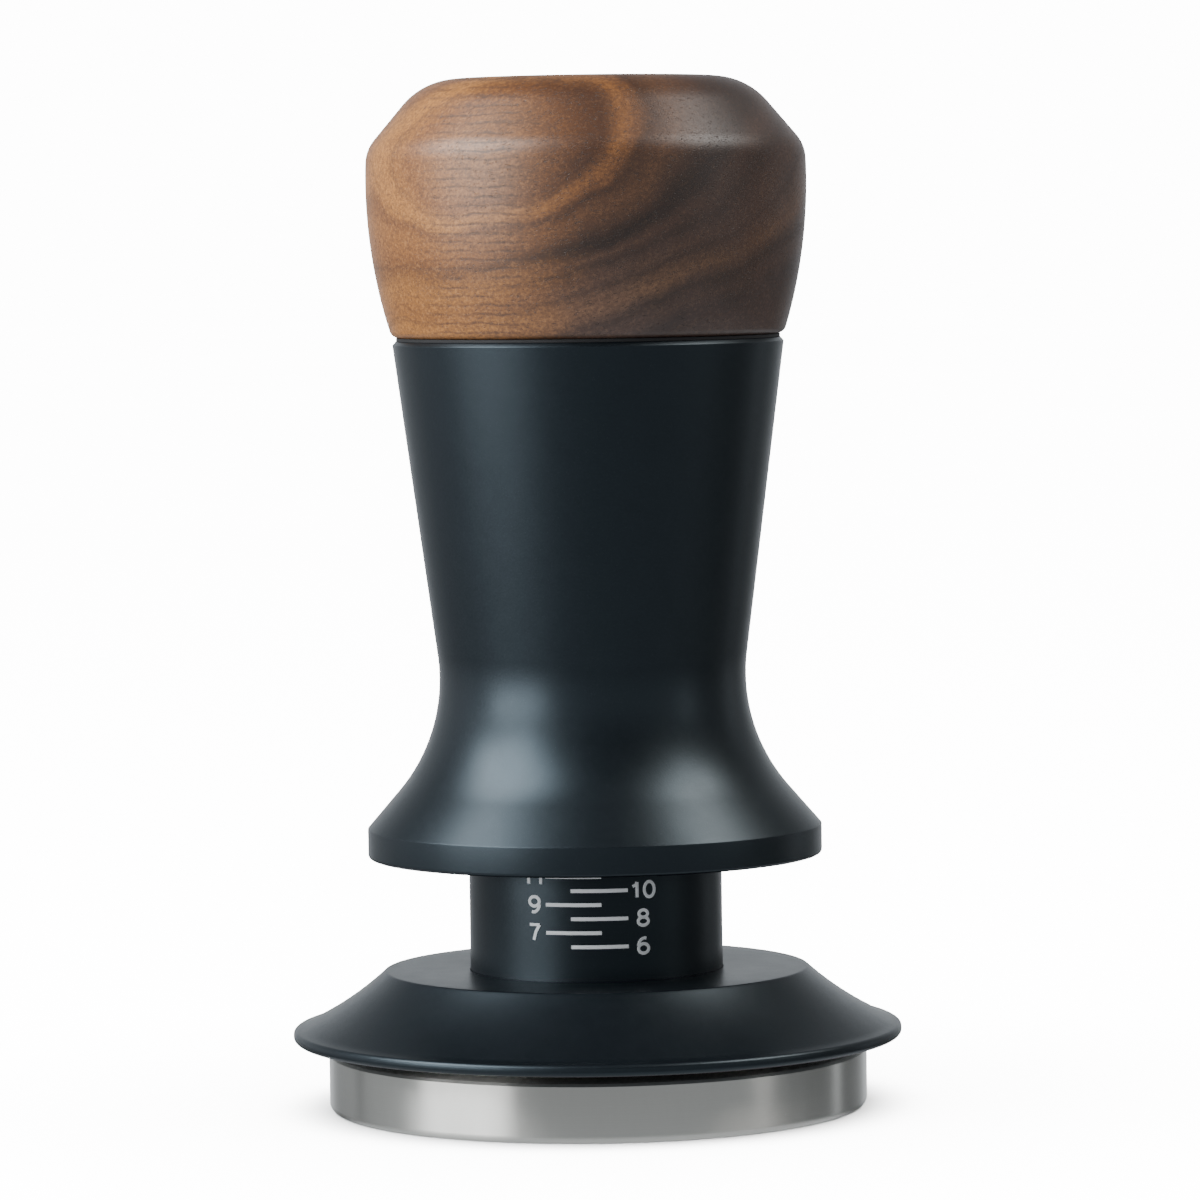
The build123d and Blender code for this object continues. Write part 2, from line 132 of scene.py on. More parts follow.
def turnedPiece(name, outline, material, closed, segments, creaseAngle=32):
    # an outline turned round Z; an open one starts and ends on the axis
    bm = bmesh.new()
    turns = [2 * math.pi * i / segments for i in range(segments)]
    rings = []
    for radius, height in outline:
        if radius < 1e-7:
            rings.append([bm.verts.new((0, 0, height))])
        else:
            rings.append([bm.verts.new((radius * math.cos(t), radius * math.sin(t), height)) for t in turns])
    pairs = list(zip(rings, rings[1:]))
    if closed:
        pairs.append((rings[-1], rings[0]))
    for low, high in pairs:
        for i in range(segments):
            j = (i + 1) % segments
            corners = [low[i % len(low)], low[j % len(low)], high[j % len(high)], high[i % len(high)]]
            unique = [v for k, v in enumerate(corners) if v not in corners[:k]]
            if len(unique) > 2:
                bm.faces.new(unique)
    return finishMesh(name, bm, material, creaseAngle)


def place(piece, body, slot, node):
    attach(piece, body)
    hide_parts(node)
    return piece


class Val:
    # a value on its way through a node tree, with arithmetic
    def __init__(self, tree, socket):
        self.tree = tree
        self.socket = socket

    def math(self, operation, *others):
        return self.tree.math(operation, self, *others)

    def __add__(self, other):
        return self.math("ADD", other)

    def __radd__(self, other):
        return self.math("ADD", other)

    def __sub__(self, other):
        return self.math("SUBTRACT", other)

    def __rsub__(self, other):
        return self.tree.math("SUBTRACT", other, self)

    def __mul__(self, other):
        return self.math("MULTIPLY", other)

    def __rmul__(self, other):
        return self.math("MULTIPLY", other)

    def __truediv__(self, other):
        return self.math("DIVIDE", other)

    def __rtruediv__(self, other):
        return self.tree.math("DIVIDE", other, self)

    def __pow__(self, other):
        return self.math("POWER", other)

    def __neg__(self):
        return self.math("MULTIPLY", -1.0)

    def sine(self):
        return self.math("SINE")

    def absolute(self):
        return self.math("ABSOLUTE")

    def clamped(self):
        return self.tree.math("ADD", self, 0.0, clamp=True)

    def between(self, low, high):
        # 0 at low, 1 at high, eased
        values = {"Value": self, "From Min": low, "From Max": high}
        return self.tree.node("ShaderNodeMapRange", values, interpolation_type="SMOOTHSTEP")


class Tree:
    # a node tree; a node's settings are set before the values or links of its sockets
    def __init__(self, nodeTree):
        self.nodeTree = nodeTree

    def node(self, kind, values=None, stops=(), out=0, **settings):
        made = self.nodeTree.nodes.new(kind)
        for key, value in settings.items():
            setattr(made, key, value)
        if stops:
            ramp = made.color_ramp
            while len(ramp.elements) < len(stops):
                ramp.elements.new(1.0)
            for element, (position, colour) in zip(ramp.elements, stops):
                element.position = position
                element.color = (*colour, 1.0)
        for key, value in (values or {}).items():
            self.feed(made.inputs[key], value)
        if isinstance(out, tuple):
            return [Val(self, made.outputs[i]) for i in out]
        return Val(self, made.outputs[out]) if made.outputs else None

    def feed(self, socket, value):
        if isinstance(value, Val):
            self.nodeTree.links.new(value.socket, socket)
        elif socket.type == "RGBA":
            socket.default_value = (*value, 1.0)
        else:
            socket.default_value = value

    def math(self, operation, *values, clamp=False):
        return self.node("ShaderNodeMath", dict(enumerate(values)), operation=operation, use_clamp=clamp)

    def vector(self, x, y, z):
        return self.node("ShaderNodeCombineXYZ", {0: x, 1: y, 2: z})

    def axes(self, vector):
        return self.node("ShaderNodeSeparateXYZ", {0: vector}, out=(0, 1, 2))


class Finish(Tree):
    # one material; constants go straight onto the shader's sockets
    def __init__(self, name, **constants):
        self.material = bpy.data.materials.new(name)
        self.material.use_nodes = True
        super().__init__(self.material.node_tree)
        self.surface = self.nodeTree.nodes["Principled BSDF"]
        self.give(**constants)

    def give(self, **values):
        for name, value in values.items():
            self.feed(self.surface.inputs[name.replace("_", " ")], value)
        return self.material

    def spot(self):
        # place on the piece, in millimetres
        place = self.node("ShaderNodeTexCoord", out=3)
        return self.node("ShaderNodeVectorMath", {0: place, "Scale": 1 / mm}, operation="SCALE")

    def stretch(self, vector, factors, offset=(0, 0, 0)):
        return self.node("ShaderNodeVectorMath", {0: vector, 1: factors, 2: offset}, operation="MULTIPLY_ADD")

    def ringSpot(self, spot):
        # grows outwards on level faces and upwards on walls, so that it makes turning marks
        x, y, z = self.axes(spot)
        return (x * x + y * y) ** 0.5 + z

    def noise(self, vector, size, detail=3.0, roughness=0.5, out=0):
        # size is the feature's width in millimetres
        values = {"Vector": vector, "Scale": 1.0 / size, "Detail": detail, "Roughness": roughness}
        return self.node("ShaderNodeTexNoise", values, out=out)

    def blend(self, factor, first, second):
        values = {0: factor, 6: first, 7: second}
        return self.node("ShaderNodeMix", values, out=2, data_type="RGBA")

    def bump(self, height, depth, strength):
        # depth is the relief for a height of 1, in millimetres
        return self.node("ShaderNodeBump", {"Height": height, "Distance": depth * mm, "Strength": strength})


blackFinish = dict(
    colour=(0.0018, 0.0028, 0.0042),
    coolColour=(0.0036, 0.0052, 0.0072),
    cloudSize=9.0,                   # patches of the cooler colour
    sheenTint=(0.70, 0.88, 1.0),
    specular=0.56,
    sleeveSpecular=0.40,
    roughness=0.365,
    roughnessSpread=0.10,
    handlingSize=2.2,                # smears from hands
    handlingShare=0.6,
    grainSize=0.20,                  # the blasted surface
    grainDepth=0.009,
    glintSize=0.11,                  # painted glints: single grains lightened in colour as if they catch the light
    glintBand=(0.66, 0.78),
    glintShare=0.4,
    glintColour=(0.03, 0.036, 0.042),
    shift=(17.0, 5.0, 11.0),         # moves the pattern on from one piece to the next
)


def blackAnodised(name, order, specular=blackFinish["specular"]):
    # fine blasted aluminium, dyed black and sealed, with painted glints
    look = blackFinish
    paint = Finish(name, Specular_IOR_Level=specular, Specular_Tint=look["sheenTint"])
    spot = paint.stretch(paint.spot(), (1, 1, 1), [order * step for step in look["shift"]])
    grain = paint.noise(spot, look["grainSize"], 2.0)
    cloud = paint.noise(spot, look["cloudSize"])
    handling = paint.noise(spot, look["handlingSize"], 4.0, 0.6)
    glints = paint.noise(spot, look["glintSize"], 1.0).between(*look["glintBand"])
    colour = paint.blend(cloud, look["colour"], look["coolColour"])
    # painted glints: lighter dots in the base colour stand in for grains catching the light
    colour = paint.blend(glints * look["glintShare"], colour, look["glintColour"])
    spread = look["roughnessSpread"]
    smear = (handling - 0.5) * (spread * look["handlingShare"])
    roughness = look["roughness"] + (grain - 0.5) * spread + smear
    normal = paint.bump(grain, look["grainDepth"], 0.5)
    return paint.give(Base_Color=colour, Roughness=roughness, Normal=normal)


steelFinish = dict(
    colour=(0.78, 0.765, 0.72),
    darkColour=(0.52, 0.51, 0.475),
    roughness=0.35,
    anisotropy=0.95,
    anisotropyTurn=0.25,             # quarter turn: the gloss spreads across the rings
    lineWidth=0.09,                  # the finest turning marks
    lineDepth=0.0022,
    lineShare=0.5,
    lineSpread=0.12,
    coarseWidth=0.6,                 # wider waves between them
    coarseShare=0.6,
    smearSize=3.5,
    smearShare=0.35,
    smearSpread=0.10,
    scuffSize=1.1,                   # short marks from use
    scuffBand=(0.60, 0.78),
    scuffShare=0.25,
    scuffSpread=0.05,
    scuffColour=(0.72, 0.72, 0.71),
)


def turnedSteel(name):
    # stainless steel with the fine rings that a lathe tool leaves
    look = steelFinish
    paint = Finish(
        name, Metallic=1.0, Anisotropic=look["anisotropy"], Anisotropic_Rotation=look["anisotropyTurn"],
    )
    spot = paint.spot()
    along = paint.ringSpot(spot)
    rings = paint.noise(paint.vector(along, 0.0, 0.0), look["lineWidth"], 3.0, 0.7)
    coarse = paint.noise(paint.vector(along, 3.0, 0.0), look["coarseWidth"], 2.0)
    smear = paint.noise(paint.stretch(spot, (1, 1, 0.25)), look["smearSize"], 4.0, 0.6)
    scuff = paint.noise(paint.stretch(spot, (1, 1, 5.0), (0, 0, 40.0)), look["scuffSize"])
    scuff = scuff.between(*look["scuffBand"])
    light = rings * look["lineShare"] + smear * look["smearShare"]
    colour = paint.blend(light, look["darkColour"], look["colour"])
    colour = paint.blend(scuff * look["scuffShare"], colour, look["scuffColour"])
    uneven = (rings - 0.5) * look["lineSpread"] + (smear - 0.5) * look["smearSpread"]
    roughness = look["roughness"] + uneven + scuff * look["scuffSpread"]
    normal = paint.bump(rings + coarse * look["coarseShare"], look["lineDepth"], 0.7)
    return paint.give(Base_Color=colour, Roughness=roughness, Normal=normal)


metalFinish = dict(oilSize=2.4, oilShare=0.6, lineShare=0.4, lineDepth=0.002, roughnessSpread=0.12)


def workshopMetal(name, colour, darker, roughness, lineWidth):
    # plain machined metal, slightly oily, for the works inside
    look = metalFinish
    paint = Finish(name, Metallic=1.0)
    spot = paint.spot()
    rings = paint.noise(paint.vector(paint.ringSpot(spot), 1.0, 0.0), lineWidth, 2.0, 0.6)
    oil = paint.noise(spot, look["oilSize"], 4.0, 0.6)
    tone = paint.blend(oil * look["oilShare"] + rings * look["lineShare"], darker, colour)
    rough = roughness + (rings - 0.5) * look["roughnessSpread"] + (oil - 0.5) * look["roughnessSpread"]
    return paint.give(Base_Color=tone, Roughness=rough, Normal=paint.bump(rings, look["lineDepth"], 0.6))


plasticFinish = dict(cloudSize=1.6, roughnessSpread=0.16, grainSize=0.14, grainDepth=0.006)


def softPlastic(name, colour, lighter, roughness):
    # moulded plastic or rubber with a fine matt grain
    look = plasticFinish
    paint = Finish(name)
    spot = paint.spot()
    cloud = paint.noise(spot, look["cloudSize"], 4.0, 0.6)
    grain = paint.noise(spot, look["grainSize"], 2.0)
    tone = paint.blend(cloud, colour, lighter)
    rough = roughness + (cloud - 0.5) * look["roughnessSpread"]
    return paint.give(Base_Color=tone, Roughness=rough, Normal=paint.bump(grain, look["grainDepth"], 0.6))


scaleFinish = dict(
    colour=(0.80, 0.83, 0.85),
    paler=(0.95, 0.96, 0.96),
    patchSize=0.35,
    patchDepth=0.004,
    roughness=0.45,
    roughnessSpread=0.15,
)


def scalePaint(name):
    # pale paint wiped into the scale's engraving
    look = scaleFinish
    paint = Finish(name)
    patch = paint.noise(paint.spot(), look["patchSize"], 3.0, 0.6)
    tone = paint.blend(patch, look["colour"], look["paler"])
    rough = look["roughness"] + patch * look["roughnessSpread"]
    return paint.give(Base_Color=tone, Roughness=rough, Normal=paint.bump(patch, look["patchDepth"], 0.5))


walnutFigure = dict(
    heart=(-8.3, -22.0, 104.0),      # where the oval figure closes, in millimetres
    tilt=13.0,                       # how far the oval leans, in degrees
    oval=(0.50, 0.14, 1.0),          # how the rings are drawn out along X, Y and Z
    reach=26.0,                      # how far from the heart the rings are told apart
    driftSize=15.0,                  # the rings' long and short wanderings
    rippleSize=2.6,
    wander=2.6,
    darkFrom=10.2,                   # the dark heartwood starts here, and leans and sways
    darkLean=0.12,
    darkSway=7.0,
    swaySize=3.4,
    darkBand=(-15.0, 3.0),
    farBand=(2.0, 17.0),             # and is darkest at the far right
    farShare=0.56,
    farTone=(0.032, 0.0175, 0.0135),
    pinkTone=(0.105, 0.062, 0.050),  # patches of it in the outer rings
    pinkShare=0.35,
    pinkSize=6.0,
    pinkBand=(12.0, 17.0),
    linePitch=0.95,                  # fine level lines in a column down the pale side
    lineSpot=-11.5,
    lineReach=(2.5, 7.0),            # the column fades out to the sides and to the back
    lineBack=(-8.0, 4.0),
    waver=7.0,
    waverSize=2.4,
    lineTone=(0.050, 0.022, 0.011),
    ringLineSize=0.42,               # fine lines that follow the rings elsewhere
    fibreSize=0.26,
    mottleSize=0.36,
    grainTone=(0.050, 0.022, 0.012),
    speckTone=(0.52, 0.26, 0.11),
    poreSize=0.13,
    poreBand=(0.62, 0.72),
    poreTone=(0.018, 0.009, 0.006),
    poreDepth=0.018,
    roughness=0.43,
    specular=0.64,
)

# colours from the middle of the oval outwards, on the pale side and on the dark side
paleRings = [
    (0.0, (0.37, 0.148, 0.033)), (3.6, (0.34, 0.130, 0.028)), (5.2, (0.28, 0.102, 0.023)),
    (6.7, (0.46, 0.183, 0.039)), (7.5, (0.45, 0.177, 0.037)), (8.2, (0.23, 0.085, 0.022)),
    (9.2, (0.34, 0.130, 0.030)), (11.2, (0.27, 0.101, 0.025)), (12.3, (0.20, 0.077, 0.021)),
    (14.4, (0.39, 0.154, 0.034)), (16.6, (0.32, 0.124, 0.030)), (18.2, (0.41, 0.164, 0.037)),
    (21.0, (0.26, 0.100, 0.025)), (26.0, (0.35, 0.138, 0.033)),
]
darkRings = [
    (0.0, (0.25, 0.098, 0.031)), (2.6, (0.105, 0.042, 0.017)), (5.7, (0.066, 0.027, 0.013)),
    (6.8, (0.23, 0.093, 0.030)), (7.5, (0.18, 0.073, 0.026)), (8.3, (0.060, 0.026, 0.013)),
    (9.6, (0.125, 0.055, 0.025)), (10.9, (0.080, 0.037, 0.020)), (12.1, (0.0165, 0.0095, 0.0075)),
    (13.0, (0.020, 0.0115, 0.009)), (13.9, (0.088, 0.044, 0.027)), (14.9, (0.034, 0.018, 0.013)),
    (16.4, (0.110, 0.056, 0.034)), (17.2, (0.070, 0.036, 0.023)), (19.2, (0.230, 0.112, 0.054)),
    (20.8, (0.040, 0.022, 0.015)), (22.2, (0.100, 0.053, 0.034)), (23.6, (0.030, 0.017, 0.013)),
    (26.0, (0.080, 0.043, 0.029)),
]


def walnut(name):
    # oiled walnut: an oval cathedral figure at one side that runs into dark heartwood
    fig = walnutFigure
    paint = Finish(name, Specular_IOR_Level=fig["specular"])
    spot = paint.spot()
    x, y, z = paint.axes(spot)
    wander = fig["wander"]
    drift = paint.noise(spot, fig["driftSize"], 1.5, out=1)
    drift = paint.stretch(drift, (wander * 2,) * 3, (-wander,) * 3)
    ripple = paint.noise(spot, fig["rippleSize"], 2.0, out=1)
    drift = paint.stretch(ripple, (wander / 2,) * 3, drift)
    moved = paint.node("ShaderNodeVectorMath", {0: spot, 1: drift}, operation="ADD")
    values = {"Vector": moved, "Center": fig["heart"], "Angle": math.radians(fig["tilt"])}
    lean = paint.node("ShaderNodeVectorRotate", values, rotation_type="Y_AXIS")
    centre = [-a * b for a, b in zip(fig["heart"], fig["oval"])]
    local = paint.stretch(lean, fig["oval"], centre)
    ring = paint.node("ShaderNodeVectorMath", {0: local}, operation="LENGTH", out=1)

    # rings follow the distance from the heart, dark heartwood shows to the right
    far = ring / fig["reach"]
    pale, deep = (
        paint.node("ShaderNodeValToRGB", {0: far}, stops=[(p / fig["reach"], c) for p, c in rings])
        for rings in (paleRings, darkRings)
    )
    sway = paint.noise(paint.vector(ring, 4.0, 0.0), fig["swaySize"], 2.0, 0.6)
    dark = x + z * fig["darkLean"] - fig["darkFrom"] + (sway - 0.5) * fig["darkSway"]
    dark = dark.between(*fig["darkBand"])
    wood = paint.blend(dark, pale, deep)
    wood = paint.blend(x.between(*fig["farBand"]) * fig["farShare"], wood, fig["farTone"])
    pinkPatch = paint.noise(spot, fig["pinkSize"], 2.0).between(0.35, 0.65)
    pinkPart = dark * ring.between(*fig["pinkBand"]) * pinkPatch
    wood = paint.blend(pinkPart * fig["pinkShare"], wood, fig["pinkTone"])

    # fine level lines down the pale side, and others that follow the rings
    waver = paint.noise(paint.stretch(spot, (0.6, 0.6, 1.0)), fig["waverSize"], 3.0, 0.6) * fig["waver"]
    level = (z * (2 * math.pi / fig["linePitch"]) + waver).sine().between(0.35, 1.0)
    beside = (x - fig["lineSpot"]).absolute()
    column = (1 - beside.between(*fig["lineReach"])) * paint.noise(spot, 3.0).between(0.25, 0.60)
    column = column * (1 - y.between(*fig["lineBack"]))
    outer = paint.noise(paint.vector(ring, 1.0, 0.0), fig["ringLineSize"], 2.0, 0.6).between(0.52, 0.74)
    lines = (level * column * 0.62 + outer * (1 - column) * 0.38).clamped()
    wood = paint.blend(lines, wood, fig["lineTone"])

    # soft fibre, pale specks and fine open pores along the grain
    fibre = paint.noise(paint.stretch(lean, (0.20, 0.6, 1.0)), fig["fibreSize"], 3.0, 0.75)
    mottle = paint.noise(spot, fig["mottleSize"], 2.0, 0.7)
    grain = (fibre - 0.40) * 1.3 + (mottle - 0.42) * 1.5
    wood = paint.blend(grain.clamped(), wood, fig["grainTone"])
    specks = (0.52 - mottle).between(0.04, 0.20) * 0.22
    wood = paint.blend(specks * (1 - dark * 0.75), wood, fig["speckTone"])
    pores = paint.noise(paint.stretch(lean, (0.22, 0.6, 1.0)), fig["poreSize"], 1.0)
    pores = pores.between(*fig["poreBand"])
    wood = paint.blend(pores * 0.5, wood, fig["poreTone"])
    roughness = fig["roughness"] + pores * 0.2 + (fibre - 0.5) * 0.14 + lines * 0.08
    relief = fibre * 0.35 - pores - lines * 0.4
    return paint.give(Base_Color=wood, Roughness=roughness, Normal=paint.bump(relief, fig["poreDepth"], 0.7))


paints = {
    "steel": turnedSteel("turned steel"),
    "disc": blackAnodised("black anodised disc", 1),
    "sleeve": blackAnodised("black anodised sleeve", 2, blackFinish["sleeveSpecular"]),
    "barrel": blackAnodised("black anodised barrel", 3),
    "scale": scalePaint("scale infill"),
    "walnut": walnut("oiled walnut"),
    "shaft": workshopMetal("ground shaft steel", (0.62, 0.62, 0.64), (0.42, 0.42, 0.44), 0.24, 0.12),
    "washer": workshopMetal("washer steel", (0.55, 0.55, 0.56), (0.32, 0.32, 0.33), 0.34, 0.20),
    "spring": workshopMetal("oiled spring steel", (0.34, 0.34, 0.36), (0.16, 0.16, 0.17), 0.30, 0.30),
    "screw": workshopMetal("blackened screw steel", (0.10, 0.10, 0.11), (0.04, 0.04, 0.045), 0.38, 0.15),
    "bronze": workshopMetal("sintered bronze", (0.62, 0.42, 0.20), (0.38, 0.24, 0.11), 0.42, 0.18),
    "aluminium": workshopMetal("machined aluminium", (0.80, 0.80, 0.81), (0.62, 0.62, 0.63), 0.30, 0.14),
    "acetal": softPlastic("natural acetal", (0.72, 0.70, 0.64), (0.82, 0.81, 0.77), 0.42),
    "bumper": softPlastic("urethane stop", (0.03, 0.03, 0.032), (0.06, 0.06, 0.06), 0.62),
    "gasket": softPlastic("black gasket", (0.006, 0.006, 0.007), (0.014, 0.014, 0.015), 0.7),
}
print("finishes made:", len(paints))


baseShape = dict(
    bottomRound=0.8 * mm,
    topBevel=0.3 * mm,
    bevelRound=0.08 * mm,
    boreRadius=4.02 * mm,
    boreDepth=4.0 * mm,
)


def makeSteelBase():
    shape = baseShape
    low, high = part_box("steel_base")
    radius, bevel, soft = high.x, shape["topBevel"], shape["bevelRound"]
    boreLow = high.z - shape["boreDepth"]
    corners = [
        (0, low.z), (radius, low.z, shape["bottomRound"]), (radius, high.z - bevel, soft),
        (radius - bevel, high.z, soft), (shape["boreRadius"], high.z), (shape["boreRadius"], boreLow),
        (0, boreLow),
    ]
    outline = softOutline(corners, closed=False, steps=8)
    base = turnedPiece("steelBase", outline, paints["steel"], closed=False, segments=360)
    return place(base, "tamper_base", "base_steel", "steel_base")


discShape = dict(
    lipHeight=1.2 * mm,
    lipRound=0.56 * mm,
    lipTopRound=0.504 * mm,
    topRadius=22.9 * mm,
    topRound=0.448 * mm,
    slopeArc=36.7 * mm,
    boreRadius=7.06 * mm,
    seatRadius=13.72 * mm,
    seatRound=0.1 * mm,
    seatDepth=4.0 * mm,
)


def makeLevellingDisc():
    shape = discShape
    low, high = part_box("levelling_disc")
    lipTop, seatFloor = low.z + shape["lipHeight"], high.z - shape["seatDepth"]
    start = Vector((high.x - shape["lipRound"], lipTop))
    end = Vector((shape["topRadius"], high.z))
    slope = arcBetween(start, end, shape["slopeArc"], 24)
    corners = [
        (shape["boreRadius"], low.z), (high.x, low.z, shape["lipRound"]),
        (high.x, lipTop, shape["lipTopRound"]), *slope[1:-1], (shape["topRadius"], high.z, shape["topRound"]),
        (shape["seatRadius"], high.z, shape["seatRound"]), (shape["seatRadius"], seatFloor),
        (shape["boreRadius"], seatFloor),
    ]
    outline = softOutline(corners, closed=True, steps=7)
    disc = turnedPiece("levellingDisc", outline, paints["disc"], closed=True, segments=360)
    return place(disc, "levelling", "disc_black", "levelling_disc")


sleeveShape = dict(
    wall=1.4 * mm,
    floorThick=2.5 * mm,
    boreRadius=7.06 * mm,
    topRound=0.3 * mm,
    footRound=0.4 * mm,
)


def makeScaleSleeve():
    shape = sleeveShape
    low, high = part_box("scale_sleeve")
    inner = high.x - shape["wall"]
    floorTop = low.z + shape["floorThick"]
    corners = [
        (shape["boreRadius"], low.z), (high.x, low.z), (high.x, high.z, shape["topRound"]),
        (inner, high.z, shape["topRound"]), (inner, floorTop, shape["footRound"]),
        (shape["boreRadius"], floorTop),
    ]
    outline = softOutline(corners, closed=True)
    sleeve = turnedPiece("scaleSleeve", outline, paints["sleeve"], closed=True, segments=256)
    return place(sleeve, "levelling", "sleeve_black", "scale_sleeve")


class Shape(Tree):
    # one geometry node tree with named inputs
    def __init__(self, name, **sizes):
        super().__init__(bpy.data.node_groups.new(name, "GeometryNodeTree"))
        face = self.nodeTree.interface
        face.new_socket("Geometry", in_out="INPUT", socket_type="NodeSocketGeometry")
        self.ids = {}
        for label, value in sizes.items():
            kind = "NodeSocketInt" if isinstance(value, int) else "NodeSocketFloat"
            socket = face.new_socket(label, in_out="INPUT", socket_type=kind)
            socket.default_value = value
            self.ids[label] = socket.identifier
        face.new_socket("Geometry", in_out="OUTPUT", socket_type="NodeSocketGeometry")
        self.entry = self.nodeTree.nodes.new("NodeGroupInput")

    def given(self, label):
        return Val(self, self.entry.outputs[label])

    def finish(self, geometry, material):
        real = self.node("GeometryNodeRealizeInstances", {"Geometry": geometry})
        painted = self.node("GeometryNodeSetMaterial", {"Geometry": real, "Material": material})
        self.node("NodeGroupOutput", {0: painted})

    def run(self, source, name, creaseAngle=40, **sizes):
        # the tree's result on the source, as a plain piece; the source is removed
        bpy.context.scene.collection.objects.link(source)
        modifier = source.modifiers.new("shape", "NODES")
        modifier.node_group = self.nodeTree
        for label, value in sizes.items():
            modifier[self.ids[label]] = value
        bpy.context.view_layer.update()
        depsgraph = bpy.context.evaluated_depsgraph_get()
        mesh = bpy.data.meshes.new_from_object(source.evaluated_get(depsgraph))
        bpy.data.objects.remove(source)
        bm = bmesh.new()
        bm.from_mesh(mesh)
        return finishMesh(name, bm, mesh.materials[0], creaseAngle)


# the scale's strokes are drawn flat, as metres round the sleeve and up it, and then wrapped round it
scaleShape = dict(
    firstHeight=3.75 * mm,           # the lowest line above the disc
    pitch=1.5 * mm,
    lowNumber=6,
    highNumber=11,
    oddLine=(-22.8, 2.5),            # where lines and numerals lie, in degrees from the front
    oddDigits=-28.5,
    evenLine=(-11.2, 14.5),
    evenDigits=21.6,
    digitHeight=1.98 * mm,
    digitWidth=1.52 * mm,
    digitStep=1.46 * mm,
    digitStroke=0.35 * mm,
    lineStroke=0.42 * mm,
    proud=0.03 * mm,
)


def ovalStroke(centreX, centreY, radiusX, radiusY, fromTurn=0.0, toTurn=360.0, steps=28):
    turns = [math.radians(fromTurn + (toTurn - fromTurn) * i / steps) for i in range(steps + 1)]
    return [(centreX + radiusX * math.cos(t), centreY + radiusY * math.sin(t)) for t in turns]


def loopStroke(*oval):
    return True, ovalStroke(*oval)[:-1]


def digitStrokes(digit):
    # strokes in a box from (-0.5, -0.5) to (0.5, 0.5), as (closed, points)
    if digit == "0":
        return [loopStroke(0, 0, 0.5, 0.5)]
    if digit == "1":
        flag = [(0.05, 0.5), (-0.12, 0.30), (-0.38, 0.22)]
        return [(False, [(0.05, -0.5), (0.05, 0.5)]), (False, flag)]
    if digit == "6":
        stem = ovalStroke(0.10, -0.02, 0.60, 0.52, 178, 74, 16)
        return [loopStroke(0, -0.19, 0.5, 0.31), (False, stem)]
    if digit == "7":
        return [(False, [(-0.5, 0.5), (0.5, 0.5)]), (False, [(0.5, 0.5), (0.12, 0.05), (-0.10, -0.5)])]
    if digit == "8":
        return [loopStroke(0, 0.26, 0.42, 0.24), loopStroke(0, -0.24, 0.5, 0.27)]
    return [(closed, [(-x, -y) for x, y in points]) for closed, points in digitStrokes("6")]   # the 9


def addStroke(curve, points, closed, width):
    spline = curve.splines.new("POLY")
    spline.points.add(len(points) - 1)
    for point, (x, z) in zip(spline.points, points):
        point.co = (x, 0, z, 1)
        point.radius = width
    spline.use_cyclic_u = closed


def wrapTree(material):
    tree = Shape("wrapStrokes", sleeveRadius=14 * mm, flatness=0.15, sides=10)
    radius, flatness, sides = (tree.given(label) for label in ("sleeveRadius", "flatness", "sides"))
    profile = tree.node("GeometryNodeCurvePrimitiveCircle", {"Resolution": sides, "Radius": 0.5})
    width = tree.node("GeometryNodeInputRadius")
    values = {"Curve": tree.given("Geometry"), "Profile Curve": profile, "Scale": width, "Fill Caps": True}
    tube = tree.node("GeometryNodeCurveToMesh", values)
    x, y, z = tree.axes(tree.node("GeometryNodeInputPosition"))
    out = radius - y * flatness
    angle = x / radius
    wrapped = tree.vector(out * angle.sine(), -(out * angle.math("COSINE")), z)
    tree.finish(tree.node("GeometryNodeSetPosition", {"Geometry": tube, "Position": wrapped}), material)
    return tree


def drawNumber(curve, number, middle, height):
    shape = scaleShape
    wide = shape["digitWidth"] - shape["digitStroke"]
    tall = shape["digitHeight"] - shape["digitStroke"]
    text = str(number)
    for i, digit in enumerate(text):
        shift = middle + shape["digitStep"] * (i - (len(text) - 1) / 2)
        for closed, points in digitStrokes(digit):
            spots = [(shift + x * wide, height + y * tall) for x, y in points]
            addStroke(curve, spots, closed, shape["digitStroke"])


def makeScaleMarks():
    shape = scaleShape
    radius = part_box("scale_sleeve")[1].x
    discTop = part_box("levelling_disc")[1].z
    curve = bpy.data.curves.new("strokes", "CURVE")
    curve.dimensions = "3D"
    steps = 12
    for number in range(shape["lowNumber"], shape["highNumber"] + 1):
        height = discTop + shape["firstHeight"] + shape["pitch"] * (number - shape["lowNumber"])
        side = "odd" if number % 2 else "even"
        start, end = (math.radians(angle) * radius for angle in shape[side + "Line"])
        line = [(start + (end - start) * i / steps, height) for i in range(steps + 1)]
        addStroke(curve, line, False, shape["lineStroke"])
        drawNumber(curve, number, math.radians(shape[side + "Digits"]) * radius, height)
    drawing = bpy.data.objects.new("strokes", curve)
    flatness = 2 * shape["proud"] / shape["lineStroke"]
    marks = wrapTree(paints["scale"]).run(drawing, "scaleMarks", sleeveRadius=radius, flatness=flatness)
    return place(marks, "levelling", "scale_infill", "scale_marks")


barrelShape = dict(
    waistRadius=16.6 * mm,
    waistHeight=19.45 * mm,
    waistArc=18.86 * mm,
    cone=40.8,                       # the flare under the waist and the taper over it, in degrees
    taper=7.42,
    rimRound=0.4 * mm,
    creaseRound=0.22 * mm,
    topBevel=0.4 * mm,
    bevelRound=0.12 * mm,
    mouthRound=0.3 * mm,
    boreRadius=14.0 * mm,
    bushFlange=1.58 * mm,            # how far the bush's flange reaches past its hole
    collarGap=0.5 * mm,
    threadRadius=14.52 * mm,
    threadDepth=5.6 * mm,
)


